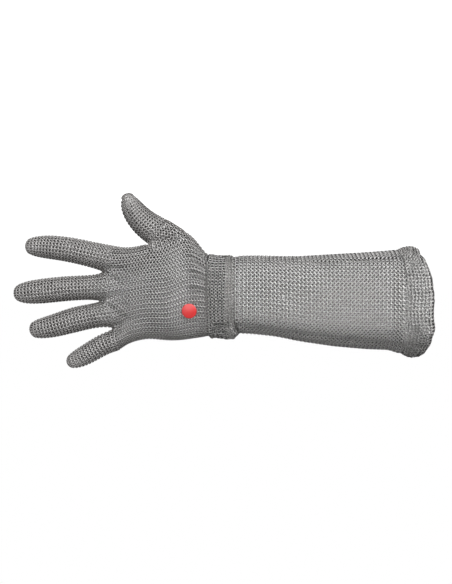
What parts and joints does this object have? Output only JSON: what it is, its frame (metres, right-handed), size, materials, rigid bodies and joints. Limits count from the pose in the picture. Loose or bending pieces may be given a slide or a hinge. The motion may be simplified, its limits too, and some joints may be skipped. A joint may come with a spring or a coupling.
{
  "type": "chainmail glove",
  "caption": "Five-finger steel ring-mail safety glove for the left hand, with a folded wrist band, a round red press button and a long flared forearm cuff.",
  "frame": {"origin": "the middle of the wrist inside the wrist band, where the glove sits on its wearer", "axes": "+X along the arm, out of the arm opening; the fingers point along -X; +Z to the thumb side; -Y is the back of the hand and +Y the palm"},
  "size_m": [0.4063, 0.089, 0.1729],
  "materials": {
    "steel_mail": "small plain steel rings, slightly dull",
    "folded_steel_mail": "the same rings in two layers, denser and darker",
    "red_button": "smooth satin gloss",
    "rivet_steel": "plain"
  },
  "bodies": {
    "root": {"palm_body": "steel_mail", "thumb": "steel_mail", "index_finger": "steel_mail", "middle_finger": "steel_mail", "ring_finger": "steel_mail", "little_finger": "steel_mail", "forearm_cuff": "steel_mail", "wrist_band": "folded_steel_mail", "hem_band": "folded_steel_mail", "button_cap": "red_button", "button_rivet": "rivet_steel"}
  },
  "joints": []
}
